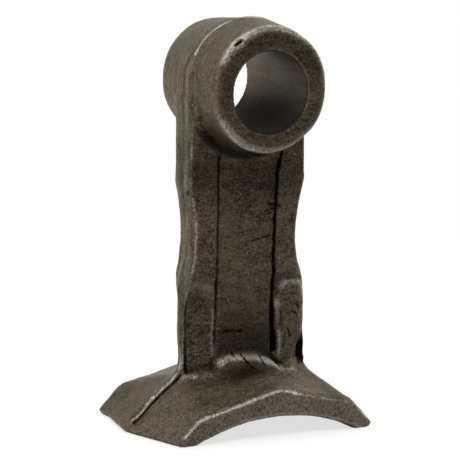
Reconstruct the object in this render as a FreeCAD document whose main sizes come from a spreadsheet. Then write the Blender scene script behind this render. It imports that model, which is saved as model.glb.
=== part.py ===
import FreeCAD, Part
import math
import os
import Sketcher

# Forged hammer blade of a flail mower and hedge cutter, as one solid.
# The origin is the centre of the eye, the eye's bore runs along Y, the shank hangs down
# along Z and the arched foot spans X. The two die halves meet in the plane Y = 0, and the
# rear half is the front half turned half a turn about Z. Lengths are in millimetres.

doc = FreeCAD.newDocument("hammer_blade")
sheet = doc.addObject("Spreadsheet::Sheet", "Sizes")

driving_sizes = {
    # Eye: a drafted drum, a little taller than wide, with a straight bore.
    "bore_diameter": 25.5,
    "bore_chamfer": 0.5,
    "eye_width": 39.6,
    "eye_rise": 1.4,
    "eye_length": 40.0,
    "eye_rim_round": 2.0,
    "eye_front_draft": 2.2,
    "eye_rear_draft": 6.0,
    # Shank: two full flanges above, with a waist, and a thin web below.
    "shank_width": 41.2,
    "shank_thickness": 11.4,
    "shank_draft": 5.0,
    "shank_top": -2.0,
    "flange_round": 1.2,
    "waist_top": -30.0,
    "waist_bottom": -64.5,
    "waist_radius": 60.0,
    "flange_end": -59.0,
    "flange_runout": -65.0,
    "web_width": 42.2,
    "web_thickness": 4.6,
    "web_flare_top": -83.0,
    "web_flare_radius": 11.0,
    # Middle bar of the shank, whose face lies below the flanges as a long panel.
    "panel_width": 20.0,
    "panel_thickness": 9.8,
    "panel_top": -22.0,
    "recess_root_thickness": 7.2,
    "floor_width": 38.6,
    "bar_top": -60.2,
    # Bead on one side of the panel, beside the foot.
    "bead_radius": 3.9,
    "bead_centre": 14.4,
    "bead_sink": 2.2,
    "bead_top": -63.2,
    # Foot: widest in the parting plane, with a roof above and an arch below.
    "foot_width": 80.4,
    "foot_end_width": 68.4,
    "foot_depth": 55.0,
    "foot_bottom": -106.7,
    "edge_height": 1.6,
    "edge_bevel": 1.5,
    "roof_apex": -84.6,
    "roof_break": -89.2,
    "roof_break_width": 42.0,
    "roof_end_apex": -91.0,
    "roof_end_break": -97.9,
    "roof_end_break_width": 54.0,
    "foot_end_round": 0.9,
    "arch_width": 56.0,
    "arch_height": 6.5,
}

tolerance = 0.001  # within which two lengths count as the same

# How a sketch numbers the places on an edge, and its own origin and axes
start_place = 1
end_place = 2
centre_place = 3
origin_edge = -1
across_axis = -1
upright_axis = -2

for row, (alias, value) in enumerate(driving_sizes.items(), start=1):
    sheet.set(f"A{row}", alias)
    sheet.set(f"B{row}", str(value))
    sheet.setAlias(f"B{row}", alias)
doc.recompute()


class Length:
    """A length as its number now and as the formula that the drawing is bound to."""

    def __init__(self, number, formula):
        self.number = number
        self.formula = formula

    def combine(self, other, sign, number):
        formula = other.formula if isinstance(other, Length) else f"{other}"
        return Length(number, f"({self.formula} {sign} {formula})")

    def __add__(self, other):
        return self.combine(other, "+", self.number + number_of(other))

    def __sub__(self, other):
        return self.combine(other, "-", self.number - number_of(other))

    def __mul__(self, factor):
        return self.combine(factor, "*", self.number * factor)

    def __truediv__(self, divisor):
        return self.combine(divisor, "/", self.number / divisor)

    def __neg__(self):
        return Length(-self.number, f"(0 mm - {self.formula})")


def number_of(length):
    return length.number if isinstance(length, Length) else length


def size(alias):
    return Length(driving_sizes[alias], f"Sizes.{alias} * 1 mm")


def bind(feature, target, length):
    feature.setExpression(target, length.formula)


body = doc.addObject("PartDesign::Body", "hammer_blade")
body.Label = "hammer_blade"


def origin_feature(role):
    return next(item for item in body.Origin.OriginFeatures if item.Role == role)


def new_sketch(name, plane, across=None, along=None, off_plane=None):
    """A sketch on one of the body's own planes, shifted by the given lengths."""
    sketch = body.newObject("Sketcher::SketchObject", name)
    sketch.AttachmentSupport = [(origin_feature(plane), "")]
    sketch.MapMode = "FlatFace"
    for axis, shift in (("x", across), ("y", along), ("z", off_plane)):
        if shift is not None:
            bind(sketch, f".AttachmentOffset.Base.{axis}", shift)
    doc.recompute()
    return sketch


def hold_coordinate(sketch, edge, end, value, kind, zero_axis):
    """Hold one coordinate of an edge's end, on the axis where it is zero."""
    if number_of(value) == 0:
        sketch.addConstraint(Sketcher.Constraint("PointOnObject", edge, end, zero_axis))
    else:
        index = sketch.addConstraint(Sketcher.Constraint(
            kind, origin_edge, start_place, edge, end, value.number))
        bind(sketch, f"Constraints[{index}]", value)


def hold_height(sketch, edge, end, value):
    hold_coordinate(sketch, edge, end, value, "DistanceY", across_axis)


def hold_point(sketch, edge, end, point):
    hold_coordinate(sketch, edge, end, point[0], "DistanceX", upright_axis)
    hold_height(sketch, edge, end, point[1])


def arc_between(start, finish, radius):
    """The minor arc between two points, and whether it runs anticlockwise."""
    chord = finish - start
    left = FreeCAD.Vector(-chord.y, chord.x, 0).normalize()
    reach = math.sqrt(max(radius ** 2 - (chord.Length / 2) ** 2, 0))
    turns_left = radius > 0
    centre = (start + finish) * 0.5 + left * (reach if turns_left else -reach)
    first, last = (start, finish) if turns_left else (finish, start)
    angles = [math.atan2(point.y - centre.y, point.x - centre.x) for point in (first, last)]
    circle = Part.Circle(centre, FreeCAD.Vector(0, 0, 1), abs(radius))
    return Part.ArcOfCircle(circle, *angles), turns_left


def draw_outline(sketch, corners, arcs=None, centre_height=None):
    """Close an outline through the corners. arcs maps an edge's number to its radius,
    positive where the edge turns to the left. Half circles are held by the height of
    their centres, given by edge number in centre_height."""
    arcs = arcs or {}
    centre_height = centre_height or {}
    points = [FreeCAD.Vector(number_of(x), number_of(y), 0) for x, y in corners]
    first_edge = sketch.GeometryCount
    ends = []
    for number, start in enumerate(points):
        finish = points[(number + 1) % len(points)]
        if number in arcs:
            edge, turns_left = arc_between(start, finish, arcs[number].number)
            sketch.addGeometry(edge, False)
            ends.append((start_place, end_place) if turns_left else (end_place, start_place))
        else:
            sketch.addGeometry(Part.LineSegment(start, finish), False)
            ends.append((start_place, end_place))
    for number in range(len(points)):
        following = (number + 1) % len(points)
        sketch.addConstraint(Sketcher.Constraint(
            "Coincident", first_edge + number, ends[number][1],
            first_edge + following, ends[following][0]))
    for number, corner in enumerate(corners):
        hold_point(sketch, first_edge + number, ends[number][0], corner)
    for number, radius in arcs.items():
        edge = first_edge + number
        if number in centre_height:
            hold_height(sketch, edge, centre_place, centre_height[number])
        else:
            length = radius if radius.number > 0 else -radius
            index = sketch.addConstraint(Sketcher.Constraint("Radius", edge, length.number))
            bind(sketch, f"Constraints[{index}]", length)


def draw_arch(sketch, half_width, rise, bottom):
    """A flat-bottomed segment of a circle, held by its two ends and its crown."""
    crown = bottom + rise
    below = bottom - rise
    points = [FreeCAD.Vector(x, y, 0) for x, y in (
        (half_width.number, bottom.number), (0, crown.number), (-half_width.number, bottom.number))]
    sketch.addGeometry(Part.Arc(*points), False)
    corners = [(-half_width, bottom), (-half_width, below), (half_width, below),
               (half_width, bottom)]
    vectors = [FreeCAD.Vector(x.number, y.number, 0) for x, y in corners]
    for start, finish in zip(vectors, vectors[1:]):
        sketch.addGeometry(Part.LineSegment(start, finish), False)
    arc, *lines = range(sketch.GeometryCount)
    for edge, following in zip((arc, *lines), (*lines, arc)):
        sketch.addConstraint(Sketcher.Constraint(
            "Coincident", edge, end_place, following, start_place))
    for edge, corner in zip(lines, corners):
        hold_point(sketch, edge, start_place, corner)
    hold_point(sketch, lines[-1], end_place, corners[-1])
    marker = sketch.addGeometry(Part.Point(points[1]), True)
    hold_point(sketch, marker, start_place, (0, crown))
    sketch.addConstraint(Sketcher.Constraint("PointOnObject", marker, start_place, arc))


def draw_circle(sketch, radius):
    circle = Part.Circle(FreeCAD.Vector(), FreeCAD.Vector(0, 0, 1), radius.number)
    edge = sketch.addGeometry(circle, False)
    sketch.addConstraint(Sketcher.Constraint(
        "Coincident", edge, centre_place, origin_edge, start_place))
    index = sketch.addConstraint(Sketcher.Constraint("Radius", edge, radius.number))
    bind(sketch, f"Constraints[{index}]", radius)


def finish_feature(feature, adds=True):
    """Recompute and make sure that the feature added or removed material as it should."""
    before = feature.BaseFeature.Shape.Volume if feature.BaseFeature else 0.0
    doc.recompute()
    change = feature.Shape.Volume - before
    if "Invalid" in feature.State or (change <= 0 if adds else change >= 0):
        raise RuntimeError(f"{feature.Name} changed the body by {change}")
    return feature


def pad_both_ways(name, sketch, thickness, front_draft, rear_draft):
    """Pad a sketch by half the thickness to each side, drafted like a forging."""
    pad = body.newObject("PartDesign::Pad", name)
    pad.Profile = sketch
    pad.SideType = "Two sides"
    for side, draft in (("", front_draft), ("2", rear_draft)):
        bind(pad, f"Length{side}", thickness / 2)
        pad.setExpression(f"TaperAngle{side}", f"0 deg - Sizes.{draft} * 1 deg")
    return finish_feature(pad)


def edges_where(feature, test):
    return [f"Edge{number}" for number, edge in enumerate(feature.Shape.Edges, start=1)
            if test(edge)]


def in_planes(distance):
    """Pick the edges that lie in either of the two planes at this distance from Y = 0."""
    def lies_there(edge):
        box = edge.BoundBox
        return all(abs(abs(y) - distance.number) < tolerance for y in (box.YMin, box.YMax))
    return lies_there


def dress_edges(kind, name, base, test, amount_name, amount):
    dressing = body.newObject(f"PartDesign::{kind}", name)
    dressing.Base = (base, edges_where(base, test))
    bind(dressing, amount_name, amount)
    return finish_feature(dressing, adds=False)


def round_edges(name, base, test, radius):
    return dress_edges("Fillet", name, base, test, "Radius", radius)


def bevel_edges(name, base, test, amount):
    return dress_edges("Chamfer", name, base, test, "Size", amount)


def pad_one_way(name, sketch, length):
    pad = body.newObject("PartDesign::Pad", name)
    pad.Profile = sketch
    bind(pad, "Length", length)
    pad.Reversed = True
    return finish_feature(pad)


def pocket_through(name, sketch, depth=None):
    """Cut a sketch out to both sides, right through or over the given depth."""
    pocket = body.newObject("PartDesign::Pocket", name)
    pocket.Profile = sketch
    pocket.SideType = "Symmetric"
    if depth is None:
        pocket.Type = "ThroughAll"
    else:
        bind(pocket, "Length", depth)
    return finish_feature(pocket, adds=False)


# Drum of the eye

half_eye = size("eye_width") / 2
eye_rise = size("eye_rise")
eye_outline = new_sketch("eye_outline", "XZ_Plane")
draw_outline(
    eye_outline,
    [(half_eye, 0), (half_eye, eye_rise), (-half_eye, eye_rise), (-half_eye, 0)],
    arcs={1: half_eye, 3: half_eye},
    centre_height={1: eye_rise, 3: 0})
eye_drum = pad_both_ways(
    "eye_drum", eye_outline, size("eye_length"), "eye_front_draft", "eye_rear_draft")
round_edges("eye_rims", eye_drum, in_planes(size("eye_length") / 2), size("eye_rim_round"))

# Shank at full thickness, waisted above and flared out to the foot's roof below

half_shank = size("shank_width") / 2
half_web = size("web_width") / 2
flare_height = size("web_flare_top") - size("roof_break")
flare_bottom = size("roof_break") - flare_height
half_flare = half_web + flare_height
shank_outline = new_sketch("shank_outline", "XZ_Plane")
draw_outline(
    shank_outline,
    [(-half_shank, size("shank_top")), (-half_shank, size("waist_top")),
     (-half_web, size("waist_bottom")), (-half_web, size("web_flare_top")),
     (-half_flare, flare_bottom), (half_flare, flare_bottom),
     (half_web, size("web_flare_top")), (half_web, size("waist_bottom")),
     (half_shank, size("waist_top")), (half_shank, size("shank_top"))],
    arcs={1: -size("waist_radius"), 3: -size("web_flare_radius"),
          5: -size("web_flare_radius"), 7: -size("waist_radius")})
pad_both_ways("shank", shank_outline, size("shank_thickness"), "shank_draft", "shank_draft")

# Thin web below, where the flanges slope down to it, and the long panel between the flanges

flange_face = size("shank_thickness") / 2
web_face = size("web_thickness") / 2
panel_face = size("panel_thickness") / 2
web_profile = new_sketch("web_profile", "YZ_Plane")
for side in (-1, 1):
    draw_outline(
        web_profile,
        [(flange_face * side, size("flange_end")),
         (web_face * side, size("flange_runout")),
         (web_face * side, size("foot_bottom")),
         (flange_face * (2 * side), size("foot_bottom")),
         (flange_face * (2 * side), size("flange_end"))])
pocket_through("web", web_profile)

panel_profile = new_sketch("panel_profile", "YZ_Plane")
for side in (-1, 1):
    draw_outline(
        panel_profile,
        [(panel_face * side, size("panel_top")), (panel_face * side, size("flange_runout")),
         (flange_face * (2 * side), size("flange_runout")),
         (flange_face * (2 * side), size("panel_top"))])
panel = pocket_through("panel", panel_profile, size("panel_width"))

half_panel = size("panel_width") / 2
on_flange_faces = in_planes(flange_face)


def is_flange_corner(edge):
    """Pick the outer side edges of the flanges' faces, from the eye down to the web."""
    upright = edge.BoundBox.ZLength > edge.BoundBox.XLength
    beside_panel = abs(edge.CenterOfMass.x) > half_panel.number + tolerance
    return on_flange_faces(edge) and upright and beside_panel


round_edges("flange_rounds", panel, is_flange_corner, size("flange_round"))

# Middle bar, with recess floors that fall away from it towards the web's edges

half_floor = size("floor_width") / 2
floor_root = size("recess_root_thickness") / 2
bar_section = new_sketch("bar_section", "XY_Plane", off_plane=size("bar_top"))
draw_outline(
    bar_section,
    [(-half_floor, -web_face), (-half_panel, -floor_root),
     (-half_panel, -panel_face), (half_panel, -panel_face), (half_panel, -floor_root),
     (half_floor, -web_face), (half_floor, web_face), (half_panel, floor_root),
     (half_panel, panel_face), (-half_panel, panel_face), (-half_panel, floor_root),
     (-half_floor, web_face)])
pad_one_way("middle_bar", bar_section, size("bar_top") - size("roof_end_apex"))

# Bead beside the panel: a round-topped rib on the front right and on the rear left

bead_profile = new_sketch(
    "bead_profile", "XZ_Plane",
    across=size("bead_centre"), off_plane=size("bead_sink"))
bead_shoulder = size("bead_top") - size("bead_radius")
draw_outline(
    bead_profile,
    [(0, size("bead_top")), (0, size("roof_end_apex")),
     (size("bead_radius"), size("roof_end_apex")), (size("bead_radius"), bead_shoulder)],
    arcs={3: size("bead_radius")},
    centre_height={3: bead_shoulder})
bead = body.newObject("PartDesign::Revolution", "bead")
bead.Profile = bead_profile
bead.ReferenceAxis = (bead_profile, ["V_Axis"])
bead.Angle = 360
finish_feature(bead)
bead_pair = body.newObject("PartDesign::PolarPattern", "bead_pair")
bead_pair.Originals = [bead]
bead_pair.Axis = (origin_feature("Z_Axis"), [""])
bead_pair.Angle = 360
bead_pair.Occurrences = 2
body.Tip = bead_pair
finish_feature(bead_pair)

# Foot, lofted from its front end through the parting plane to its rear end

def foot_section(name, off_plane, foot_width, break_width, apex, roof_break):
    """Section across the foot: a flat bottom, bevelled edges and a roof of four slopes."""
    section = new_sketch(name, "XZ_Plane", off_plane=off_plane)
    tip = size(foot_width) / 2
    bottom = size("foot_bottom")
    edge = bottom + size("edge_height")
    bevel = tip - size("edge_bevel")
    break_place = size(break_width) / 2
    draw_outline(
        section,
        [(-tip, edge), (-bevel, bottom), (bevel, bottom), (tip, edge),
         (break_place, size(roof_break)), (0, size(apex)), (-break_place, size(roof_break))])
    return section


half_depth = size("foot_depth") / 2
foot_end_sections = [
    foot_section(name, off_plane, "foot_end_width", "roof_end_break_width",
                 "roof_end_apex", "roof_end_break")
    for name, off_plane in (("front_foot_section", half_depth), ("rear_foot_section", -half_depth))]
foot_middle = foot_section(
    "middle_foot_section", None, "foot_width", "roof_break_width", "roof_apex", "roof_break")
foot = body.newObject("PartDesign::AdditiveLoft", "foot")
foot.Profile = foot_end_sections[0]
foot.Sections = [foot_middle, foot_end_sections[1]]
foot.Ruled = True
finish_feature(foot)

# Arch under the foot, which leaves a flat land along each cutting edge

arch_profile = new_sketch("arch_profile", "XZ_Plane")
draw_arch(arch_profile, size("arch_width") / 2, size("arch_height"), size("foot_bottom"))
arch = pocket_through("arch", arch_profile)
round_edges("foot_ends", arch, in_planes(half_depth), size("foot_end_round"))

# Bore of the eye, bevelled at both ends

bore_radius = size("bore_diameter") / 2
bore_circle = new_sketch("bore_circle", "XZ_Plane")
draw_circle(bore_circle, bore_radius)
bore = pocket_through("bore", bore_circle)


def is_bore_rim(edge):
    return (isinstance(edge.Curve, Part.Circle)
            and abs(edge.Curve.Radius - bore_radius.number) < tolerance)


bevel_edges("bore_bevel", bore, is_bore_rim, size("bore_chamfer"))

# Check every feature, then write the part

doc.recompute()
for item in doc.Objects:
    if "Invalid" in item.State or "Error" in item.State:
        raise RuntimeError(f"{item.Name} failed: {item.State}")
if body.Shape.isNull() or not body.Shape.isValid():
    raise RuntimeError("the body is not a valid solid")

os.makedirs("parts", exist_ok=True)
body.Shape.exportStep(f"parts/{body.Label}.step")
print("box", body.Shape.BoundBox)
print("volume", round(body.Shape.Volume))
print("solids", len(body.Shape.Solids))
print("faces", len(body.Shape.Faces))
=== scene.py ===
import math

import bmesh
import bpy
import numpy as np
from mathutils import Matrix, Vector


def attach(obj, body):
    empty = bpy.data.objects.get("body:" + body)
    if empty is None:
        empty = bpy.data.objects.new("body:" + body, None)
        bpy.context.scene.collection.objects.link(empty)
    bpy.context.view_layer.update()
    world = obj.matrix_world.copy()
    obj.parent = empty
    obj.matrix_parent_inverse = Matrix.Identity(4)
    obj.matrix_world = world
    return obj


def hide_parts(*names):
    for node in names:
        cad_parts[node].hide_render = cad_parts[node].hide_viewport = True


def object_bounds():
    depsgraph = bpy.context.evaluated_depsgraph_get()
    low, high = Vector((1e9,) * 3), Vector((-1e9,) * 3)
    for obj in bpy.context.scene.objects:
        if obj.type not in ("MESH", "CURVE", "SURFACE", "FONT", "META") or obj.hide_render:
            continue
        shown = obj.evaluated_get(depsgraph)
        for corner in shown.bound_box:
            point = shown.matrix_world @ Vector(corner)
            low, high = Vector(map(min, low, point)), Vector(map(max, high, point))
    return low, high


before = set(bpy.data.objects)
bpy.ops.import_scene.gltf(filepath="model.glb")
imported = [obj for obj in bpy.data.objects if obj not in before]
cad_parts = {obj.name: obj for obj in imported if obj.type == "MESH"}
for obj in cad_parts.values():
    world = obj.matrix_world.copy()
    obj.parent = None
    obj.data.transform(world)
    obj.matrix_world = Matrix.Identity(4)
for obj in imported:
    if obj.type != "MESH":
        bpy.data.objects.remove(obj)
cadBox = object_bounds()
mm = 0.001

# The forging is shaped in millimetres: X across the foot, Y along the eye's bore, Z up, from the bore's centre.


def ease(low, high, values):
    part = np.clip((values - low) / (high - low), 0, 1)
    return part * part * (3 - 2 * part)


def hill(distance, width):
    return np.exp(-(distance / width) ** 2)


def between(low, high, soft, values):  # 1 inside a band with soft ends, 0 outside it
    return ease(low - soft, low + soft, values) * (1 - ease(high - soft, high + soft, values))


class Grain:
    # seeded smooth noise that is read at points in space
    def __init__(self, seed):
        dice = np.random.default_rng(seed)
        self.grid = dice.uniform(-1, 1, (32, 32, 32))
        self.turn = np.linalg.qr(dice.normal(size=(3, 3)))[0]

    def at(self, points, size):
        cell = (points @ self.turn) / size + 1000.0
        corner = np.floor(cell).astype(int)
        part = cell - corner
        part = part * part * (3 - 2 * part)
        total = np.zeros(len(points))
        for dx in (0, 1):
            for dy in (0, 1):
                for dz in (0, 1):
                    share = (part[:, 0] if dx else 1 - part[:, 0]) * (part[:, 1] if dy else 1 - part[:, 1])
                    share = share * (part[:, 2] if dz else 1 - part[:, 2])
                    total += share * self.grid[(corner[:, 0] + dx) % 32, (corner[:, 1] + dy) % 32,
                                               (corner[:, 2] + dz) % 32]
        return total


def nearLine(places, line):
    # distance from each place to a line of corners, and the share of its length at the nearest spot
    nearest = np.full(len(places), 1e9)
    share = np.zeros(len(places))
    corners = np.array(line, float)
    steps = np.diff(corners, axis=0)
    lengths = np.linalg.norm(steps, axis=1)
    done = 0.0
    for start, step, length in zip(corners, steps, lengths):
        offset = places - start
        along = np.clip(offset @ step / length ** 2, 0, 1)
        away = np.linalg.norm(offset - along[:, None] * step, axis=1)
        closer = away < nearest
        nearest = np.where(closer, away, nearest)
        share = np.where(closer, (done + along * length) / lengths.sum(), share)
        done += length
    return nearest, share


class Skin:
    # the forging's surface while it is shaped
    def __init__(self, mesh):
        self.mesh = mesh
        self.points = np.empty(len(mesh.vertices) * 3)
        mesh.vertices.foreach_get("co", self.points)
        self.points = self.points.reshape(-1, 3) / mm
        pairs = np.empty(len(mesh.edges) * 2, int)
        mesh.edges.foreach_get("vertices", pairs)
        self.pairs = pairs.reshape(-1, 2)
        self.count = np.bincount(pairs, minlength=len(self.points)).astype(float)
        self.refresh()

    def refresh(self):
        self.mesh.vertices.foreach_set("co", (self.points * mm).ravel())
        self.mesh.update()
        self.normals = np.empty(len(self.points) * 3)
        self.mesh.vertex_normals.foreach_get("vector", self.normals)
        self.normals = self.normals.reshape(-1, 3)

    def spread(self, values):  # the mean of each point's neighbours
        first, second = self.pairs.T
        total = (np.bincount(first, values[second], len(values))
                 + np.bincount(second, values[first], len(values)))
        return total / self.count

    def relax(self, rounds, hollows, corners):
        # hollows and corners say how strongly inside and outside corners are rounded
        for turn in range(rounds):
            shift = np.stack([self.spread(self.points[:, k]) for k in range(3)], axis=1) - self.points
            lift = (shift * self.normals).sum(1)
            self.points += shift * np.where(lift > 0, hollows, corners)[:, None]
            if turn % 4 == 3:
                self.refresh()
        self.refresh()

    def push(self, amount):
        self.points += self.normals * amount[:, None]


# The forging's forms and marks, in millimetres.

forging = {
    "coarseVoxel": 0.5,
    "voxel": 0.38,
    "triangles": 196000,
    "boreRadius": 12.75,
    "waviness": 0.16,      # long unevenness of the die faces
    "grainDepth": 0.05,   # fine unevenness under the scale
    "pitDepth": 0.11,      # pits that loose scale left on the panel
}

# Both dies leave these forms, the rear ones turned half a turn about the shank. Corners are (across, up).
dieForms = {
    "panelLeft": [(-10.2, -21.3), (-10.2, -34.8), (-10.3, -44.3), (-10.5, -58.5), (-10.6, -66.0),
                  (-10.5, -72.7), (-10.8, -83.0)],
    "panelRight": [(10.8, -21.0), (10.3, -29.9), (9.7, -42.5), (9.4, -55.2), (9.7, -61.6), (9.4, -69.0),
                   (9.3, -74.4),
                   (10.0, -79.6), (10.2, -85.0)],
    "runOut": (-56.5, -71.0),
    "flangeDepth": 5.7,
    "webDepth": 2.3,
    "lip": [(-10.6, -86.9), (-6.7, -85.4), (-2.4, -85.2), (2.9, -85.6), (8.0, -87.4), (10.5, -89.2)],
    "webLip": [(-25.0, -91.0), (-22.5, -90.5), (-19.9, -90.1), (-16.4, -89.7), (-13.8, -89.2)],
    "welt": [(-18.4, -10.6), (-14.3, -15.9), (-10.6, -19.8)],
    "beadTop": [(12.5, -64.1), (13.5, -62.8), (15.6, -62.4), (18.2, -62.5), (20.0, -63.2)],
    "beadFoot": [(10.6, -89.4), (13.0, -90.0), (16.0, -89.9)],
    "scuff": [(-18.4, -61.4), (-15.3, -61.2), (-12.0, -62.5)],
}

# How the trimmed sides wander from the drawn outline, as (up, shift to the right).
trimmedSides = {
    "left": [(-88, 0.2), (-84, 0.4), (-66, 0.3), (-62, -0.3), (-58, -0.8), (-54, -0.5), (-34, -0.2),
             (-20, 0.1)],
    "right": [(-90, 1.5), (-84, 1.9), (-78, 1.2), (-73, 0.7), (-62, 0.7), (-59, 0.1), (-56, -0.5),
              (-48, -0.45),
              (-42, 0.0), (-34, 0.45), (-20, 0.2)],
    "foot": -0.75,
    "eyeFront": 0.85,
    "farCorner": 1.1,
}

flash = {
    "eyeHeight": 0.35,
    "eyeStep": 0.95,       # the front half stands prouder than the rear half at the top
    "eyeStepAt": -4.0,
    "eyeLine": [(80, -7.8), (84, -7.5), (88, -6.5), (93, -5.3), (97, -4.2), (107, -3.0), (119, -2.6),
                (128, -2.2),
                (139, -2.7), (149, -3.2)],
    "footHeight": 0.65,    # from the web's edge down the foot's slope, as (across, ahead, up)
    "footLine": [(-20.7, 0.4, -74.0), (-20.6, -0.1, -79.0), (-20.6, -0.7, -84.0), (-20.8, -0.8, -87.0),
                 (-22.2, -0.6, -90.3), (-24.3, -0.45, -92.1), (-26.7, -0.4, -93.8), (-28.8, -0.5, -95.5),
                 (-31.4, -0.75, -97.4), (-33.3, -1.1, -99.4), (-37.8, -1.6, -103.6)],
    "footFold": [(-20.4, -2.2), (-22.0, -2.0), (-24.3, -1.7), (-28.0, -1.55), (-32.0, -1.9), (-38.0, -2.7)],
}

rimPit = {"spot": (-11.3, -19.7, 16.0), "angle": 125, "half": (1.45, 0.62), "deep": 1.0}

# Small cracks and dents: wide and deep in millimetres, dark is how strongly painted shade blackens the mark.
marks = [
    {"side": "front", "line": [(-7.8, -76.5), (-4.5, -76.6), (-1.0, -77.2)], "wide": 0.25, "deep": 0.30,
     "dark": 0.8},
    {"side": "front", "line": [(-2.0, -84.2), (-0.8, -86.3), (0.4, -88.3)], "wide": 0.30, "deep": 0.45,
     "dark": 1.0},
    {"side": "front", "line": [(4.7, -85.2), (5.2, -88.0)], "wide": 0.25, "deep": 0.35, "dark": 0.8},
    {"side": "front", "line": [(1.4, -48.6), (5.2, -47.9), (9.4, -47.0)], "wide": 0.26, "deep": 0.28,
     "dark": 0.7},
    {"side": "front", "line": [(6.4, -39.3), (9.8, -38.9)], "wide": 0.25, "deep": 0.22, "dark": 0.6},
    {"side": "front", "line": [(-4.8, -58.6), (-2.2, -60.0)], "wide": 0.25, "deep": 0.15, "dark": 0.3},
    {"side": "front", "line": [(-8.4, -46.4), (-5.6, -46.9)], "wide": 0.3, "deep": 0.15, "dark": 0.35},
    {"side": "front", "line": [(-5.0, -83.4), (-4.2, -85.2)], "wide": 0.22, "deep": 0.25, "dark": 0.6},
    {"side": "front", "line": [(7.6, -37.2), (9.6, -37.4), (11.8, -38.2)], "wide": 0.42, "deep": 0.35,
     "dark": 0.9},
    {"side": "front", "line": [(-9.0, -30.2), (-6.0, -32.0), (-2.6, -33.9)], "wide": 0.30, "deep": 0.14,
     "dark": 0.35},
    {"side": "front", "line": [(-10.3, -20.8), (-10.1, -22.6)], "wide": 0.60, "deep": 0.5, "dark": 1.0},
    {"side": "front", "line": [(12.0, -20.2), (11.5, -22.6), (11.0, -26.0)], "wide": 0.42, "deep": 0.5,
     "dark": 1.0},
    {"side": "front", "line": [(-18.0, -67.0), (-16.4, -66.2), (-14.6, -66.6)], "wide": 1.0, "deep": 0.25,
     "dark": 0.08},
    {"side": "front", "line": [(17.6, -69.6), (18.9, -71.2)], "wide": 0.35, "deep": 0.35, "dark": 0.6},
    {"side": "front", "line": [(16.4, -71.8), (18.2, -74.0)], "wide": 0.35, "deep": 0.30, "dark": 0.5},
    {"side": "front", "line": [(14.6, -77.0), (15.7, -80.4)], "wide": 0.35, "deep": 0.30, "dark": 0.5},
    {"side": "front", "line": [(12.4, -70.0), (12.3, -76.0), (11.4, -79.5)], "wide": 0.30, "deep": 0.16,
     "dark": 0.12},
    {"side": "left", "line": [(-3.6, -31.4), (-3.0, -33.0)], "wide": 0.5, "deep": 0.35, "dark": 0.6},
    {"side": "left", "line": [(0.4, -32.6), (0.2, -34.4)], "wide": 0.5, "deep": 0.3, "dark": 0.5},
]


def dieView(points):
    # a point's place across and before its own die
    front = points[:, 1] < 0
    across = np.where(front, points[:, 0], -points[:, 0])
    return across, -np.abs(points[:, 1]), points[:, 2]


def lineAcross(line, up):
    corners = np.array(sorted(line, key=lambda corner: corner[1]))
    return np.interp(up, corners[:, 1], corners[:, 0])


def slidePanelWalls(skin):
    # the panel's side walls lean and wander
    across, ahead, up = dieView(skin.points)
    low = between(-84, -23, 1.5, up) * ease(-1.2, -2.4, ahead)
    shift = np.zeros(len(up))
    for key, wall in (("panelLeft", -10.0), ("panelRight", 10.0)):
        place = lineAcross(dieForms[key], up)
        shift += (place - wall) * hill(across - wall, 3.5) * low
    skin.points[:, 0] += np.where(skin.points[:, 1] < 0, shift, -shift)


def trimSides(skin):
    x, y, z = skin.points.T
    beside = ease(11.5, 18.5, np.abs(x)) * between(-90, -12, 2, z)
    for key, side in (("left", x < 0), ("right", x > 0)):
        ups, shifts = np.array(trimmedSides[key]).T
        skin.points[:, 0] += np.interp(z, ups, shifts) * beside * side
    skin.points[:, 0] += (trimmedSides["eyeFront"] * ease(8, 17, x) * ease(-5, -14, y) * ease(-17, -12, z)
                          * (np.hypot(x, z) > 14))
    skin.points[:, 0] += trimmedSides["foot"] * ease(-88, -92, z) * ease(21, 30, np.abs(x))
    skin.points[:, 0] -= (trimmedSides["farCorner"] * ease(17, 25, y) * ease(-22, -30, x)
                          * ease(-38.5, -34, x) * (z < -88))


def softenRunOut(skin):
    # the flange fades into the thin web instead of ending in a ramp
    across, ahead, up = dieView(skin.points)
    was = np.interp(up, (-65, -59), (dieForms["webDepth"], dieForms["flangeDepth"]))
    top, foot = dieForms["runOut"][0], dieForms["runOut"][1]
    wanted = (dieForms["webDepth"]
              + (dieForms["flangeDepth"] - dieForms["webDepth"]) * ease(foot, top, up) ** 0.8)
    beside = ease(-10.4, -11.6, across)
    skin.points[:, 1] *= 1 + (wanted / was - 1) * beside


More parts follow.
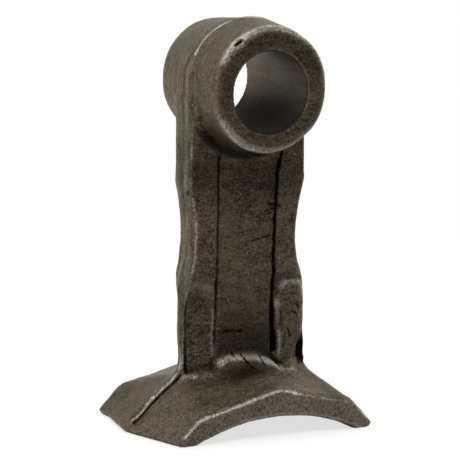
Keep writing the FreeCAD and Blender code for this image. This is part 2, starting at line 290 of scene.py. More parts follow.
def shapeBead(skin):
    # the bead fills the recess beside the panel, broad above and narrower below, with a deep gap beside it
    across, ahead, up = dieView(skin.points)
    ups = (-88, -86, -84, -82, -80, -77, -70, -62)
    middle = np.interp(up, ups, (14.0, 14.1, 14.4, 14.9, 15.4, 15.9, 15.9, 15.6))
    half = np.interp(up, ups, (3.9, 4.1, 4.5, 4.9, 5.3, 5.8, 6.0, 5.4))
    bulge = np.clip(1 - np.abs((across - middle) / half) ** 2.3, 0, 1) ** 0.5
    body = np.interp(up, (-88, -80, -66), (3.3, 3.4, 3.0)) * bulge
    lobe = 3.4 * np.clip(1 - ((across - 10.9) / 1.5) ** 2 - ((up + 72.8) / 5.0) ** 2, 0, 1) ** 0.5
    wall = 1.2 * hill(across - 18.7, 0.4) * ease(-82.0, -84.5, up)
    front = skin.points[:, 1] < 0
    gap = np.where(front, 1.5, 0.7) * ease(19.0, 20.4, across) * ease(-81.0, -86.0, up)
    wanted = dieForms["webDepth"] + np.maximum.reduce([body, lobe, wall]) - gap
    was = np.interp(up, (-65, -59), (dieForms["webDepth"], dieForms["flangeDepth"]))
    facing = (ahead < -1.2) & (np.abs(skin.normals[:, 1]) > 0.35)
    outer = np.where(front, 22.6, 20.2)
    zone = (ease(9.2, 9.7, across) * ease(outer, outer - 0.7, across) * ease(-89.5, -87.5, up)
            * ease(-61.0, -63.0, up) * facing)
    wanted = np.where(up > -64.5, np.maximum(wanted, was), wanted)
    depth = -ahead + (wanted + ahead) * zone
    skin.points[:, 1] = np.where(skin.points[:, 1] < 0, -depth, depth)


def shapeFootJoin(skin):
    # a rolled lip where the panel meets the foot, a hollow before it, and a welt under the eye
    across, ahead, up = dieView(skin.points)
    face = np.stack([across, up], 1)
    rough = Grain(18)
    near = ease(-14.5, -9.5, ahead) * (ahead < -2.2)
    lip = 0.85 * hill(nearLine(face, dieForms["lip"])[0], 1.0) * near * between(-10.8, 9.6, 0.8, across)
    edge = (0.65 * hill(nearLine(face, dieForms["webLip"])[0], 0.7) * near
            * (0.9 + 0.6 * rough.at(skin.points, 2.2)))
    x, y, z = skin.points.T
    before = ease(0.5, -0.5, np.where(x < 0, y, -y))
    crest = ((0.8 * before - 0.15) * between(-38, -22, 3, -np.abs(across)) * hill(y, 7.0)
             * (skin.normals[:, 2] > 0.3))
    crest = (crest - 0.3 * between(-31, -20, 2, np.where(y > 0, x, -x)) * ease(6, 18, np.abs(y))
             * (skin.normals[:, 2] > 0.3) * (z < -86))
    hollow = 0.95 * hill(across + 1.0, 7.5) * hill(ahead + 12.0, 3.6) * (skin.normals[:, 2] > 0.4) * (z < -80)
    welt = 0.45 * hill(nearLine(face, dieForms["welt"])[0], 1.3) * (ahead < -4)
    skin.push(lip + edge - hollow + welt - crest)


def sideBand(skin):
    # the shank's edge runs on up the sides of the eye
    x, y, z = skin.points.T
    band = between(-5.0, 5.0, 0.5, y) * between(-4, 10, 3, z) * ease(16, 17.5, np.abs(x))
    skin.points[:, 0] += np.sign(x) * 0.5 * band


def roundCorners(skin):
    x, y, z = skin.points.T
    lay = np.hypot(x, z)
    bore = (lay < forging["boreRadius"] + 0.2) & (np.abs(y) < 19.6)
    across, ahead, up = dieView(skin.points)
    eyeJoin = between(-26, -2, 2, z) * ease(21.5, 19.5, np.abs(x)) * (np.abs(y) < 17)
    footJoin = between(-96, -84, 3, z) * between(-23, 23, 2, x)
    runOut = (between(-74, -55, 3, z) * ease(9.5, 11, np.abs(x)) * ease(9.5, 6.5, across)
              * ease(19.6, 18.6, np.abs(x)))
    bead = between(-90, -60, 3, z) * between(9.6, 20.5, 1, across)
    rim = 0.3 * ease(16.8, 17.6, lay) * ease(16.5, 17.5, np.abs(y)) * (z > -21)
    roof = (ease(0.2, 0.4, skin.normals[:, 2]) * ease(-84, -87, z) * ease(24.8, 23.2, np.abs(y))
            * ease(38.5, 37, np.abs(x)))
    nose = ease(25.2, 26, np.abs(y)) * ease(0.0, 0.2, skin.normals[:, 2]) * (z < -85)
    keep = np.where(bore, 0, 1)
    soft = np.clip(eyeJoin + footJoin + runOut, 0, 1) * (1 - 0.8 * bead)
    skin.relax(8, keep * (0.25 + 0.45 * soft),
               keep * np.clip(0.16 + 0.4 * (runOut + roof + rim) + 0.3 * nose, 0, 0.6))
    skin.relax(24, keep * 0.7 * soft,
               keep * np.clip(0.3 * runOut + 0.6 * roof + 0.5 * rim + 0.25 * nose, 0, 0.6))
    skin.relax(40, keep * 0.6 * roof, keep * 0.6 * roof)


def onSide(skin, side):
    # the two coordinates that a mark on this side is drawn in, and where that side faces out
    x, y, z = skin.points.T
    lean = skin.normals.T
    if side == "front":
        return x, z, ease(0.15, 0.5, -lean[1]) * (y < 0) * (y > -13)
    return y, z, ease(0.15, 0.5, -lean[0]) * (x < 0)


def cutMarks(skin):
    rough = Grain(5)
    for mark in marks:
        across, up, facing = onSide(skin, mark["side"])
        away, share = nearLine(np.stack([across, up], 1), mark["line"])
        away = away + 0.12 * rough.at(skin.points, 0.9)
        groove = (hill(np.maximum(away, 0), mark["wide"]) * facing * ease(0, 0.12, share + 0.06)
                  * ease(1.06, 0.9, share))
        skin.push(-mark["deep"] * groove)
        # painted shade blackens the groove
        skin.dark = np.maximum(skin.dark, mark["dark"] * groove)


def cutCrevices(skin):
    # the folds along both sides of the panel, thin on one side and open on the other, blackened with painted
    # shade
    across, ahead, up = dieView(skin.points)
    x = skin.points[:, 0]
    facing = ease(0.1, 0.5, np.abs(skin.normals[:, 1]))
    rough = Grain(8).at(skin.points, 1.6)
    panel = between(-84.5, -23, 0.6, up) * ease(-1.5, -2.6, ahead) * facing
    left = np.abs(across - lineAcross(dieForms["panelLeft"], up) + 0.12 * rough)
    fold = hill(left, 0.40) * panel * (0.85 + 0.35 * rough) * ease(-83.5, -81, up)
    wide = 0.33 + 0.22 * ease(-50, -66, up) + 0.28 * ease(-76.5, -80, up) + 0.10 * rough
    right = np.abs(across - lineAcross(dieForms["panelRight"], up) + 0.15 * rough)
    gap = hill(right, wide) * panel
    skin.push(-0.45 * fold - 0.95 * gap)
    low = ease(-62, -66, up)
    skin.dark = np.maximum(skin.dark, np.maximum(fold * (1.1 - 0.8 * low), 1.25 * gap))
    # a painted highlight on the lit wall left of the panel, lower down
    corner = hill(across - lineAcross(dieForms["panelLeft"], up) + 0.55, 0.4) * panel * low
    skin.worn = np.maximum(skin.worn, 0.28 * corner * (0.7 + 1.2 * rough))
    # beside the bead, painted shade makes it black beyond its thin wall, and painted highlights light its own
    # left edge and the lobe
    edge = 18.7 + 2.6 * ease(-85.5, -79.0, up) + 0.3 * rough
    black = (ease(edge, edge + 1.5, across) * ease(-80.5, -85.0, up) * (up > -89.5) * (ahead < 0.2)
             * (np.abs(x) < 23))
    skin.dark = np.maximum(skin.dark, np.where(skin.points[:, 1] < 0, 1.05, 0.4) * black)
    lit = (0.5 * hill(across - 11.9, 0.5) * between(-87.0, -77.5, 1.2, up)
           + 0.5 * hill(across - 11.2, 1.1) * hill(up + 69.4, 1.7))
    lit = lit + 0.16 * hill(across - 11.0, 0.9) * between(-76.5, -69, 1.5, up)
    face = np.stack([across, up], 1)
    lit = (lit + 0.42 * hill(nearLine(face, dieForms["beadTop"])[0], 0.8)
           + 0.16 * hill(nearLine(face, dieForms["scuff"])[0], 1.3))
    skin.worn = np.maximum(skin.worn, lit * (ahead < -3.0) * facing * (0.8 + 0.4 * rough))


def raiseEyeFlash(skin):
    # a torn line over the eye, where the front half also stands prouder
    x, y, z = skin.points.T
    rough = Grain(11)
    angle = np.degrees(np.arctan2(z, x))
    outside = ease(15.5, 17.5, np.hypot(x, z)) * (np.abs(y) < 19)
    turns, places = np.array(flash["eyeLine"]).T
    wander = (y - np.interp(angle, turns, places) + 0.35 * rough.at(skin.points, 7.0)
              + 0.15 * rough.at(skin.points, 2.0))
    run = between(turns[0], turns[-1], 1.5, angle)
    ridge = hill(wander, 0.50) * run * outside * (0.62 + 0.5 * rough.at(skin.points, 2.6))
    behind = y - flash["eyeStepAt"] + 0.35 * rough.at(skin.points, 7.0)
    step = (ease(0.35, -0.1, behind) * np.exp(np.minimum(behind, 0) / 9.0) * ease(57, 61, angle)
            * ease(118, 88, angle) * outside)
    skin.push(flash["eyeHeight"] * ridge + flash["eyeStep"] * step)
    # a painted highlight along the torn line
    skin.worn = np.maximum(skin.worn, ridge * 1.7)


def raiseFootRidge(skin):
    # the rim of the web's edge flows into a ridge down the foot's slope, with a fold before it
    x, y, z = skin.points.T
    rough = Grain(11)
    turned = np.stack([-np.abs(x), np.where(x < 0, y, -y), z], 1)
    line = np.array(flash["footLine"])
    away, share = nearLine(turned, line)
    behind = turned[:, 1] - np.interp(-turned[:, 0], -line[:, 0], line[:, 1])
    opened = ease(0.1, 0.45, share)
    slope = (ease(-20.9, -21.9, turned[:, 0]) * ease(0.1, 0.3, skin.normals[:, 2])
             * ease(-38.6, -37.6, turned[:, 0]) * (z < -80))
    wavy = behind + 0.3 * rough.at(skin.points, 4.0) + 0.15 * rough.at(skin.points, 1.3)
    lip = np.maximum(hill(away, 0.75) * ease(0, 0.08, share) * (1 - slope), hill(wavy, 0.6) * slope)
    lip = lip * (0.85 + 0.3 * rough.at(skin.points, 3.0))
    back = ease(0.2, 0.8, behind) * hill(behind - 0.2, 2.6) * slope
    places, folds = np.array(flash["footFold"]).T
    wide = 0.36 + 0.5 * hill(turned[:, 0] + 21.5, 1.8)
    foldAway = turned[:, 1] - np.interp(-turned[:, 0], -places, folds) + 0.2 * rough.at(skin.points, 2.0)
    fold = hill(foldAway, wide) * slope * (0.85 + 0.3 * rough.at(skin.points, 1.8))
    skin.push(flash["footHeight"] * (lip * (0.35 + 0.65 * opened) + 0.5 * back) - 0.75 * fold)
    # painted shade in the fold
    skin.dark = np.maximum(skin.dark, 1.1 * fold)
    # painted highlights along the web's rim and down the ridge
    bright = np.maximum(0.6 * hill(away, 0.6) * ease(0.1, 0.3, share) * (1 - slope),
                        1.25 * hill(wavy - 0.05, 0.42) * slope)
    skin.worn = np.maximum(skin.worn, bright * (0.75 + 0.4 * rough.at(skin.points, 1.6)))


def cutWebGroove(skin):
    # the web has a groove inside its rim
    across, ahead, up = dieView(skin.points)
    web = between(-88.5, -66, 2, up) * (across < -15) * ease(0.1, 0.4, np.abs(skin.normals[:, 1]))
    groove = hill(across + 19.9, 0.32 + 0.3 * ease(-83, -88, up)) * web * (0.7 + 0.5 * ease(-78, -86, up))
    skin.push(-0.5 * groove)
    # painted shade blackens the groove
    skin.dark = np.maximum(skin.dark, 0.95 * groove)


def raiseFlash(skin):
    for step in (raiseEyeFlash, raiseFootRidge, cutWebGroove):
        step(skin)


def pressPit(skin):
    turn = math.radians(rimPit["angle"])
    along = np.array([-math.sin(turn), 0, math.cos(turn)])
    offset = skin.points - np.array(rimPit["spot"])
    length = offset @ along
    side = np.linalg.norm(offset - length[:, None] * along, axis=1)
    hole = np.exp(-((length / rimPit["half"][0]) ** 4) - (side / rimPit["half"][1]) ** 4)
    skin.push(-rimPit["deep"] * hole)
    # painted shade blackens the pit
    skin.dark = np.maximum(skin.dark, 1.2 * hole)


def roughen(skin):
    x, y, z = skin.points.T
    across, ahead, up = dieView(skin.points)
    smooth = np.where((np.hypot(x, z) < forging["boreRadius"] + 1.2) & (np.abs(y) < 20.2), 0, 1)
    faces = 1 - 0.75 * ease(18.5, 19.5, np.abs(y)) * (np.hypot(x, z) < 22)
    wave = (0.7 * Grain(1).at(skin.points, 14.0) + 0.5 * Grain(2).at(skin.points, 5.5)
            + 0.3 * Grain(3).at(skin.points, 2.4))
    fine = Grain(4).at(skin.points, 0.9) + 0.6 * Grain(6).at(skin.points, 0.55)
    skin.push(smooth * faces * (forging["waviness"] * wave + forging["grainDepth"] * fine))
    # loose scale came off the upper right of the panel
    patch = ease(-0.15, 0.35, hill(across - 5.5, 6.5) * hill(up + 38, 13) - 0.35
                 + 0.5 * Grain(7).at(skin.points, 6.0))
    dents = (np.clip(Grain(9).at(skin.points * (0.7, 1.0, 1.2), 1.7) - 0.12, 0, 1)
             * ease(0.6, 0.9, np.abs(skin.normals[:, 1])))
    panel = between(-84, -23, 2, up) * ease(10.2, 9.2, np.abs(across)) * ease(-3.5, -4.4, ahead)
    skin.push(-3.6 * forging["pitDepth"] * patch * dents * panel)
    # painted shade darkens the dents
    skin.dark = np.maximum(skin.dark, 0.4 * patch * dents * panel)
    # shear streaks down the trimmed sides of the shank
    streak = (Grain(10).at(skin.points * (1.0, 1.0, 0.06), 0.9)
              + 0.7 * Grain(12).at(skin.points * (1.0, 1.0, 0.05), 1.9))
    trimmed = (ease(0.6, 0.9, np.abs(skin.normals[:, 0])) * between(-82, 6, 4, z)
               * ease(15.5, 16.5, np.abs(x)) * (np.abs(y) < 7))
    skin.push(0.07 * streak * trimmed)


# How bright the eye's rim is, partly worn and partly a painted highlight where the light falls, by the angle
# round the bore in degrees, and the foot's end faces, brightened with painted light.
wearAndGlint = {
    "rim": [(0, 0.25), (45, 0.25), (70, 0.6), (95, 0.95), (140, 1.0), (155, 0.3), (165, 0.12), (200, 0.15),
            (214, 0.95), (245, 0.9),
            (265, 0.6), (300, 0.45), (330, 0.25), (360, 0.25)],
    "footEnds": 0.1,
}


def bending(skin):
    # how far the surface bends in or out over about one millimetre, and over a broader stretch
    near = skin.points.copy()
    for _ in range(8):
        near = np.stack([skin.spread(near[:, k]) for k in range(3)], axis=1)
    bend = ((near - skin.points) * skin.normals).sum(1)
    for _ in range(2):
        bend = skin.spread(bend)
    for _ in range(16):
        near = np.stack([skin.spread(near[:, k]) for k in range(3)], axis=1)
    broad = ((near - skin.points) * skin.normals).sum(1)
    return bend, broad


def shadeMasks(skin):
    bend, broad = bending(skin)
    x, y, z = skin.points.T
    across, ahead, up = dieView(skin.points)
    face = np.stack([across, up], 1)
    rough = Grain(21)
    patchy = 0.6 + 0.4 * rough.at(skin.points, 5.0)
    # painted shade in hollows and creases, under the eye, at the panel's foot, in a pool before the lip, on the
    # ring's faces, on the roof and the flanks and along the parting line; the shear streaks are darkened in too
    lay = np.hypot(x, z)
    under = ((0.36 + 0.16 * ease(10, 11, -across)) * ease(-40, -27, up) * (1 - 0.6 * ease(-24, -21.5, up))
             * ease(-4, -5, ahead) * (lay > 20.5) * (z < -16))
    belly = (0.4 * ease(-0.35, -0.8, skin.normals[:, 2]) * (lay < 22) * (lay > 14.5)
             * ease(18.6, 16.5, np.abs(y)) * (z < -8))
    belly = np.maximum(belly,
                       0.95 * between(19.6, 22.6, 0.9, lay) * between(-11.0, -4.5, 1.0, ahead)
                       * ease(-11, -14, z))
    streak = (Grain(10).at(skin.points * (1.0, 1.0, 0.06), 0.8)
              + 0.7 * Grain(12).at(skin.points * (1.0, 1.0, 0.05), 1.7))
    trimmed = (ease(0.6, 0.9, np.abs(skin.normals[:, 0])) * between(-84, 8, 4, z)
               * ease(15.5, 16.5, np.abs(x)) * (np.abs(y) < 8))
    lipAway = nearLine(face, dieForms["lip"])[0]
    base = (0.65 * ease(-57, -86, up) * ease(10.5, 9.5, np.abs(across)) * ease(-8, -5, ahead)
            * ease(0.9, 2.0, lipAway) * (up > -87))
    pool = (1.0 * hill(across + 3.4, 9.5) * hill(ahead + 12.0, 5.0) * ease(0.5, 0.8, skin.normals[:, 2])
            * (z < -80))
    # painted shade on the ring's faces, darker towards the top
    ring = ((0.3 + 0.12 * ease(0, 10, z)) * ease(0.6, 0.9, np.abs(skin.normals[:, 1])) * (np.abs(y) > 18.8)
            * (lay < 19))
    # painted shade on the roof and the trimmed flanks, with the real shear streaks
    shadeAndStreaks = (0.24 * ease(0.3, 0.6, skin.normals[:, 2]) * (z < -86)
            * np.maximum(ease(-20, -24, x) * ease(-0.5, 0.8, y), 1.7 * ease(10, 22, x)))
    flank = (0.26 * ease(0.6, 0.9, np.abs(skin.normals[:, 0])) * (np.abs(y) < 7) * between(-86, -15, 2, z)
             * ease(8, 20, np.abs(z + 46)))
    shadeAndStreaks = np.maximum(shadeAndStreaks, flank + 0.35 * np.clip(streak, 0, 1) * trimmed)
    # a painted shadow along the parting line
    parting = (0.34 * hill(y - np.sign(x) * 0.9 + 0.5 * rough.at(skin.points, 6.0), 1.1)
               * (np.abs(x) > 15.5) * between(-17, 9, 3, z))
    shadeAndStreaks = np.maximum(shadeAndStreaks, parting)
    # painted shade in concave places, narrow and broad
    bent = np.maximum(ease(0.03, 0.30, bend), 0.95 * ease(0.08, 0.34, broad))
    bent = bent * (1 - 0.8 * between(-10.5, -5.5, 1, across) * between(-87.5, -83.8, 0.7, up) * (ahead < -4))
    skin.hollow = np.maximum.reduce([bent, under, belly, base, pool, ring, shadeAndStreaks])
    # bare metal shows on ridges and corners, with painted highlights on the rim, the foot's nose and end faces,
    # the lip, the web's lip, the bead's foot, the arch's arris and the flank corners
    shank = between(-84, -6, 3, z)
    tip = ease(-103.2, -104.4, z)
    worn = ease(0.06, 0.24, -bend) * (1 - 0.72 * shank) * (1 - 0.85 * tip) * patchy
    turn = np.degrees(np.arctan2(z, across)) % 360
    # the rim's brightness by angle, partly wear and partly a painted highlight where the light falls
    rimWearAndGlint = np.interp(turn, *np.array(wearAndGlint["rim"]).T)
    rim = rimWearAndGlint * ease(16.0, 17.2, lay) * (np.abs(y) > 16.4) * (z > -21) * ease(0.08, 0.38, -broad)
    thin = ease(-26, -30, across)
    # a painted highlight along the foot's front ridge
    nose = hill(skin.normals[:, 2] - 0.40, 0.20 - 0.06 * thin) * (np.abs(y) > 24.6) * (z < -84) * (1 - tip)
    nose = 1.15 * nose * (1 - 0.7 * ease(5, 9, across)) * (1 - 0.35 * thin)
    rubbedAndLit = 1.25 * np.maximum(rim, nose) * (0.85 + 0.35 * rough.at(skin.points, 2.2))
    # painted light on the foot's end faces
    ends = wearAndGlint["footEnds"] * ease(0.7, 0.9, np.abs(skin.normals[:, 1])) * (np.abs(y) > 25) * (z < -86)
    upward = ease(-14, -10, ahead) * (ahead < -2.2) * ease(0.0, 0.4, skin.normals[:, 2])
    ledge = ease(-14, -10, ahead) * (ahead < -2.2) * ease(-0.3, 0.15, skin.normals[:, 2])
    # painted highlights on the lip, the web's lip, the bead's foot, the arch's arris and the flank corners
    lip = 1.3 * hill(lipAway - 0.1, 0.75) * between(-10.0, 9.8, 0.8, across) * ledge * patchy
    edge = (1.05 * hill(nearLine(face, dieForms["webLip"])[0] + 0.1, 0.6) * upward
            * (0.45 + 0.7 * rough.at(skin.points, 1.8)))
    beadFoot = (0.6 * hill(nearLine(face, dieForms["beadFoot"])[0], 0.6) * upward
                * np.clip(0.2 + 1.3 * rough.at(skin.points, 1.3), 0, 1))
    edge = np.maximum(edge, beadFoot)
    crown, reach = -100.2, 63.6
    arch = crown - reach + np.sqrt(np.maximum(reach ** 2 - x ** 2, 0))
    arris = (0.5 * hill(z - arch - 0.9, 0.35) * (np.abs(y) > 26.6) * (np.abs(x) < 34)
             * (0.7 + 0.5 * rough.at(skin.points, 4.0)))
    worn = worn * (1 - np.clip(2 * hill(across - lineAcross(dieForms["panelRight"], up), 1.2), 0, 1) * shank)
    corner = (hill(np.abs(skin.normals[:, 0]) - 0.7, 0.22) * (np.abs(skin.normals[:, 1]) > 0.35)
              * between(-66, -16, 3, z))
    corner = 0.5 * corner * (np.abs(x) > 16) * np.clip(0.45 + 0.9 * rough.at(skin.points, 2.4), 0, 1)
    streaks = 0.22 * np.clip(-streak - 0.2, 0, 1) * trimmed
    skin.worn = np.maximum.reduce([skin.worn * 0.95, worn, rubbedAndLit, ends, lip, edge, arris, corner, streaks])
    # painted shade on the bead's right flank
    flankDark = 0.75 * ease(15.2, 19.5, across) * between(-88, -79, 2, up) * (ahead < -1.5) * (y < 0)
    skin.hollow = np.maximum(skin.hollow, flankDark)
    # thin rust on the left of the ring and in the corner where the web meets the foot
    ringLeft = between(150, 190, 12, turn) * ease(14.5, 16.5, lay) * (np.abs(y) > 17.5) * (z > -21)
    webFoot = hill(nearLine(face, dieForms["webLip"])[0], 2.0) * (ahead < -1.5) * (ahead > -9)
    skin.rust = np.maximum(ringLeft, 0.8 * webFoot) * np.clip(0.7 + 0.6 * rough.at(skin.points, 1.8), 0, 1)


def keepMask(mesh, name, values):
    layer = mesh.attributes.new(name, "FLOAT", "POINT")
    layer.data.foreach_set("value", np.clip(values, 0, 1).astype(np.float32))


def weldedCopy(node, name):
    mesh = node.data.copy()
    work = bmesh.new()
    work.from_mesh(mesh)
    bmesh.ops.remove_doubles(work, verts=work.verts, dist=0.002 * mm)
    work.to_mesh(mesh)
    work.free()
    piece = bpy.data.objects.new(name, mesh)
    bpy.context.scene.collection.objects.link(piece)
    return piece


def applied(piece, kind, **settings):
    modifier = piece.modifiers.new("step", kind)
    for key, value in settings.items():
        setattr(modifier, key, value)
    made = bpy.data.meshes.new_from_object(piece.evaluated_get(bpy.context.evaluated_depsgraph_get()))
    piece.modifiers.clear()
    piece.data = made


def trueBore(skin, loose):
    # the bore stays a true cylinder, and nothing stands out of the part's box
    lay = np.hypot(skin.points[:, 0], skin.points[:, 2])
    inside = (lay < forging["boreRadius"] + 0.3) & (np.abs(skin.points[:, 1]) < 19.5)
    wanted = forging["boreRadius"] + loose * Grain(15).at(skin.points[inside], 0.8)
    for k in (0, 2):
        skin.points[inside, k] *= wanted / lay[inside]
    for k in range(3):
        low, high = cadBox[0][k] / mm, cadBox[1][k] / mm + (0.9 if k == 2 else 0)
        skin.points[:, k] = np.clip(skin.points[:, k], low, high)
    skin.refresh()


def shapeForging(node):
    piece = weldedCopy(node, "forged_hammer")
    applied(piece, "REMESH", mode="VOXEL", voxel_size=forging["coarseVoxel"] * mm)
    skin = Skin(piece.data)
    slidePanelWalls(skin)
    trimSides(skin)
    softenRunOut(skin)
    shapeBead(skin)
    sideBand(skin)
    skin.refresh()
    roundCorners(skin)
    shapeFootJoin(skin)
    skin.refresh()
    print("forms shaped", len(skin.points))
    applied(piece, "REMESH", mode="VOXEL", voxel_size=forging["voxel"] * mm)
    skin = Skin(piece.data)
    skin.relax(3, 0.3, 0.3)
    skin.dark = np.zeros(len(skin.points))
    skin.worn = np.zeros(len(skin.points))
    for step in (roughen, cutCrevices, raiseFlash, pressPit, cutMarks):
        step(skin)
        skin.refresh()
    trueBore(skin, 0.01)
    shadeMasks(skin)
    print("marks cut", len(skin.points))
    keepMask(piece.data, "dark", skin.dark)
    keepMask(piece.data, "worn", skin.worn)
    keepMask(piece.data, "hollow", skin.hollow)
    keepMask(piece.data, "rust", skin.rust)
    outside = np.flatnonzero(np.hypot(skin.points[:, 0], skin.points[:, 2]) > forging["boreRadius"] + 0.15)
    group = piece.vertex_groups.new(name="outside")
    group.add(outside.tolist(), 1.0, "REPLACE")
    share = forging["triangles"] / (2 * len(piece.data.polygons))
    applied(piece, "DECIMATE", ratio=min(1.0, share), use_collapse_triangulate=True,
            vertex_group="outside", vertex_group_factor=1000.0)
    piece.vertex_groups.clear()
    print("triangles", len(piece.data.polygons))
    trueBore(Skin(piece.data), 0)
    piece.data.shade_smooth()
    return piece


class Wire:
    # a value socket; sums of wires add their Math nodes
    def __init__(self, shade, socket):
        self.shade = shade
        self.socket = socket

    def math(self, operation, *others):
        return self.shade.add("ShaderNodeMath", {"operation": operation}, dict(enumerate((self, *others))))

    def __add__(self, other):
        return self.math("ADD", other)

    def __sub__(self, other):
        return self.math("SUBTRACT", other)

    def __mul__(self, other):
        return self.math("MULTIPLY", other)

    def __truediv__(self, other):
        return self.math("DIVIDE", other)

    def __pow__(self, other):
        return self.math("POWER", other)

    def __radd__(self, other):
        return self + other

    def __rmul__(self, other):
        return self * other

    def __rsub__(self, other):
        return self.shade.number(other).math("SUBTRACT", self)

    def __rtruediv__(self, other):
        return self.shade.number(other).math("DIVIDE", self)

    def __neg__(self):
        return self * -1

    def clamp(self):
        return self.shade.add("ShaderNodeClamp", {}, {"Value": self})

    def ease(self, low, high):
        settings = {"interpolation_type": "SMOOTHSTEP"}
        return self.shade.add("ShaderNodeMapRange", settings,
                              {"Value": self, "From Min": low, "From Max": high})


class Shade:
    # one material's or world's nodes
    def __init__(self, owner):
        owner.use_nodes = True
        self.tree = owner.node_tree
        self.tree.nodes.clear()

    def add(self, kind, settings, inputs, output=0):
        node = self.tree.nodes.new(kind)
        for key, value in settings.items():
            if key == "stops":
                ramp = node.color_ramp.elements
                while len(ramp) < len(value):
                    ramp.new(0.5)
                for stop, (place, colour) in zip(ramp, value):
                    stop.position = place
                    stop.color = (*colour, 1)
            else:
                setattr(node, key, value)
        for key, value in inputs.items():
            if isinstance(value, Wire):
                self.tree.links.new(value.socket, node.inputs[key])
            else:
                node.inputs[key].default_value = value
        return Wire(self, node.outputs[output])

    def number(self, value):
        return self.add("ShaderNodeMath", {"operation": "ADD"}, {0: value, 1: 0.0})

    def end(self, kind, **inputs):
        node = self.tree.nodes.new(kind)
        for key, wire in inputs.items():
            self.tree.links.new(wire.socket, node.inputs[key])

    def place(self):  # object coordinates in millimetres
        spot = self.add("ShaderNodeTexCoord", {}, {}, "Object")
        return self.add("ShaderNodeVectorMath", {"operation": "SCALE"}, {0: spot, "Scale": 1 / mm})

    def stretch(self, spot, factors):
        return self.add("ShaderNodeVectorMath", {"operation": "MULTIPLY"}, {0: spot, 1: factors})

    def mask(self, name):  # a mask that was kept on the mesh
        return self.add("ShaderNodeAttribute", {"attribute_name": name}, {}, "Fac")

    def noise(self, spot, size, detail=2.0, roughness=0.5):
        inputs = {"Vector": spot, "Scale": 1 / size, "Detail": detail, "Roughness": roughness}
        return self.add("ShaderNodeTexNoise", {}, inputs)

    def mix(self, amount, first, second):
        first = (*first, 1) if isinstance(first, tuple) else first
        second = (*second, 1) if isinstance(second, tuple) else second
        return self.add("ShaderNodeMix", {"data_type": "RGBA"}, {0: amount, 6: first, 7: second}, 2)


steel = {
    "scale": (0.118, 0.094, 0.060),
    "darkScale": (0.012, 0.009, 0.005),
    # the next colour is the near-black of painted shade in creases and hollows
    "hollow": (0.006, 0.005, 0.003),
    # the next colour is bare worn metal and painted highlights
    "worn": (0.50, 0.47, 0.42),
    "rust": (0.070, 0.032, 0.020),
    "bore": (0.100, 0.076, 0.040),
    # the next colour darkens the bore's lining, as painted shade and in smeared streaks
    "boreLow": (0.005, 0.004, 0.002),
    "glint": (1.0, 0.95, 0.86),  # the colour of reflections seen at a slant
    "roughness": 0.38,
    "metallic": 0.75,
}


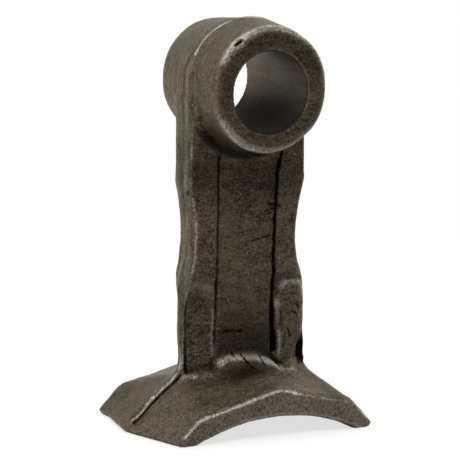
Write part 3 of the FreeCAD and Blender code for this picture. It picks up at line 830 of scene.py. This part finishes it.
def forgedSteel():
    material = bpy.data.materials.new("forged_steel")
    shade = Shade(material)
    spot = shade.place()
    dark = shade.mask("dark")
    worn = shade.mask("worn")
    hollow = shade.mask("hollow")
    broad = shade.noise(spot, 8.0, 3.0)
    cloud = shade.noise(shade.stretch(spot, (0.6, 1.0, 1.0)), 2.8, 3.0, 0.6)
    flakes = shade.noise(spot, 1.3, 2.0, 0.6)
    fine = shade.noise(spot, 0.62, 2.0, 0.6)
    grit = shade.noise(spot, 0.28, 1.0)
    tone = (broad.ease(0.3, 0.7) * 0.22 + cloud.ease(0.35, 0.65) * 0.26 + flakes.ease(0.38, 0.62) * 0.30
            + fine.ease(0.38, 0.62) * 0.60)
    tone = tone - 0.14
    scratch = shade.noise(shade.stretch(spot, (0.3, 1.0, 2.0)), 1.5, 2.0, 0.6)
    tone = (tone + (scratch.ease(0.58, 0.72) - scratch.ease(0.42, 0.28)) * 0.22).clamp()
    # the bore is smoother and greyer than the skin
    apart = shade.add("ShaderNodeSeparateXYZ", {}, {0: spot}, "X")
    height = shade.add("ShaderNodeSeparateXYZ", {}, {0: spot}, "Z")
    bore = 1 - (apart * apart + height * height).math("SQRT").ease(12.9, 13.15)
    colour = shade.mix(tone, steel["darkScale"], steel["scale"])
    stain = shade.noise(spot, 4.5, 2.0).ease(0.60, 0.78) * (1 - bore)
    colour = shade.mix((stain * 0.25 + shade.mask("rust") * 0.6).clamp(), colour, steel["rust"])
    # painted shade darkens the lining towards the bottom of the bore
    lining = shade.mix(height.ease(-12, 5), steel["boreLow"], steel["bore"])
    smear = shade.noise(shade.stretch(spot, (1.0, 0.25, 1.0)), 2.4, 3.0).ease(0.35, 0.7)
    lining = shade.mix(smear * 0.45, lining, steel["boreLow"])
    depth = shade.add("ShaderNodeSeparateXYZ", {}, {0: spot}, "Y")
    # painted shade at the top of the bore towards the rear
    lining = shade.mix(height.ease(4, 12) * depth.ease(14, -6) * 0.6, lining, steel["boreLow"])
    colour = shade.mix(bore, colour, lining)
    specks = shade.noise(spot, 0.5, 1.0).ease(0.65, 0.76) * 0.42
    pits = shade.noise(shade.stretch(spot, (1.0, 1.1, 0.9)), 0.6, 1.0).ease(0.64, 0.75) * 0.42 * (1 - bore)
    # painted highlights and worn metal from the mask, with bright specks of grain
    wearAndHighlight = (worn * (0.45 + fine.ease(0.3, 0.6) * 0.8) + specks).clamp() * (1 - bore)
    colour = shade.mix(wearAndHighlight, colour, steel["worn"])
    # painted shade from the dark and hollow masks, with dark pits of grain
    shadeAndPits = (dark + hollow * 0.85 + pits).clamp()
    colour = shade.mix(shadeAndPits, colour, steel["hollow"])
    rough = (steel["roughness"] + (fine - 0.5) * 0.5 + shadeAndPits * 0.3 - wearAndHighlight * 0.08
             + bore * (0.15 + height.ease(0, -10) * 0.35))
    relief = fine * 1.1 + flakes * 1.0 + grit * 0.5 + scratch * 0.7 - pits * 0.5
    relief = relief * (1 - bore * 0.93)
    bump = shade.add("ShaderNodeBump", {}, {"Strength": 1.0, "Distance": 0.55 * mm, "Height": relief})
    metal = steel["metallic"] + shadeAndPits * 0.4 - bore * 0.35
    inputs = {"Base Color": colour, "Roughness": rough.clamp(), "Metallic": metal.clamp(), "Normal": bump}
    inputs["Specular Tint"] = (*steel["glint"], 1)
    shade.end("ShaderNodeOutputMaterial", Surface=shade.add("ShaderNodeBsdfPrincipled", {}, inputs))
    return material


hammer = shapeForging(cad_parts["hammer_blade"])
hammer.data.materials.clear()
hammer.data.materials.append(forgedSteel())
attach(hammer, "root")
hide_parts("hammer_blade")
print("forging ready", len(hammer.data.polygons))

# How the photograph was taken: angles in degrees, places in millimetres.
shot = {
    "azimuth": -28.0,
    "elevation": 9.67,
    "roll": 0.5,
    "target": (-3.264, 0.0, -45.527),
    "distance": 1100.0,
    "focal": 3515.66,  # in pixels of a 460 pixel frame
    "frame": 460,
}


def addCamera():
    turn, rise, roll = (math.radians(shot[key]) for key in ("azimuth", "elevation", "roll"))
    back = np.array([math.sin(turn) * math.cos(rise), -math.cos(turn) * math.cos(rise), math.sin(rise)])
    right = np.array([math.cos(turn), math.sin(turn), 0.0])
    up = np.cross(back, right)
    tilted = math.cos(roll) * right + math.sin(roll) * up
    top = -math.sin(roll) * right + math.cos(roll) * up
    spot = (np.array(shot["target"]) + back * shot["distance"]) * mm
    lens = bpy.data.cameras.new("camera")
    lens.sensor_width = 36.0
    lens.lens = shot["focal"] / shot["frame"] * 36.0
    lens.clip_start, lens.clip_end = 0.05, 50.0
    camera = bpy.data.objects.new("camera", lens)
    camera.matrix_world = Matrix([(*row, place) for row,
                                  place in zip(np.stack([tilted, top, back], 1), spot)] + [(0, 0, 0, 1)])
    bpy.context.scene.collection.objects.link(camera)
    bpy.context.scene.camera = camera


floorLook = {"size": 3.0, "colour": (0.86, 0.86, 0.86), "white": 0.72, "fade": (0.22, 0.6)}


def addFloor(height):
    half = floorLook["size"] / 2
    mesh = bpy.data.meshes.new("floor")
    mesh.from_pydata([(-half, -half, height), (half, -half, height), (half, half, height),
                      (-half, half, height)], [], [(0, 1, 2, 3)])
    floor = bpy.data.objects.new("floor", mesh)
    bpy.context.scene.collection.objects.link(floor)
    material = bpy.data.materials.new("pale_floor")
    shade = Shade(material)
    lit = shade.add("ShaderNodeBsdfDiffuse", {}, {"Color": (*floorLook["colour"], 1)})
    glow = shade.add("ShaderNodeEmission", {}, {"Color": (1, 1, 1, 1), "Strength": 1.0})
    seen = shade.add("ShaderNodeLightPath", {}, {}, "Is Camera Ray")
    both = shade.add("ShaderNodeMixShader", {}, {0: seen * floorLook["white"], 1: lit, 2: glow})
    spot = shade.add("ShaderNodeTexCoord", {}, {}, "Object")
    away = shade.add("ShaderNodeVectorMath", {"operation": "LENGTH"}, {0: spot}, "Value")
    clear = shade.add("ShaderNodeBsdfTransparent", {}, {})
    faded = shade.add("ShaderNodeMixShader", {}, {0: away.ease(*floorLook["fade"]), 1: both, 2: clear})
    shade.end("ShaderNodeOutputMaterial", Surface=faded)
    mesh.materials.append(material)


studio = {
    "behind": 1.0,  # brightness of the studio behind and beside the part
    "front": 0.06,  # and on the side that the camera looks from
    "warmth": (1.0, 0.985, 0.955),
    "lamps": [
        {"name": "top_light", "spot": (-0.35, -0.80, 1.35), "size": 0.9, "power": 18.0},
        {"name": "left_light", "spot": (-1.8, 0.5, 0.6), "size": 1.0, "power": 13.5},
        {"name": "right_light", "spot": (1.8, 0.6, 0.7), "size": 1.0, "power": 11.0},
    ],
}


def lightStudio():
    world = bpy.data.worlds.new("studio")
    bpy.context.scene.world = world
    shade = Shade(world)
    direction = shade.add("ShaderNodeTexCoord", {}, {}, "Generated")
    parts = shade.add("ShaderNodeVectorMath", {"operation": "DOT_PRODUCT"},
                      {0: direction, 1: (0.0, 0.9, 0.45)}, "Value")
    room = studio["front"] + (studio["behind"] - studio["front"]) * parts.ease(-0.6, 0.6)
    seen = shade.add("ShaderNodeLightPath", {}, {}, "Is Camera Ray")
    level = room * (1 - seen) + seen
    tint = shade.mix(seen, studio["warmth"], (1.0, 1.0, 1.0))
    sky = shade.add("ShaderNodeBackground", {}, {"Color": tint, "Strength": level})
    shade.end("ShaderNodeOutputWorld", Surface=sky)
    for lamp in studio["lamps"]:
        light = bpy.data.lights.new(lamp["name"], "AREA")
        light.shape = "SQUARE"
        light.size = lamp["size"]
        light.energy = lamp["power"]
        light.color = studio["warmth"]
        holder = bpy.data.objects.new(lamp["name"], light)
        spot = np.array(lamp["spot"])
        aim = spot - np.array([0, 0, -0.045])
        back = aim / np.linalg.norm(aim)
        right = np.cross((0, 0, 1), back)
        right /= np.linalg.norm(right)
        turned = np.stack([right, np.cross(back, right), back], 1)
        holder.matrix_world = Matrix([(*row, place) for row, place in zip(turned, spot)] + [(0, 0, 0, 1)])
        bpy.context.scene.collection.objects.link(holder)


addCamera()
addFloor(cadBox[0].z)
lightStudio()
bpy.context.scene.view_settings.view_transform = "Standard"
print("studio ready")

bpy.context.view_layer.update()
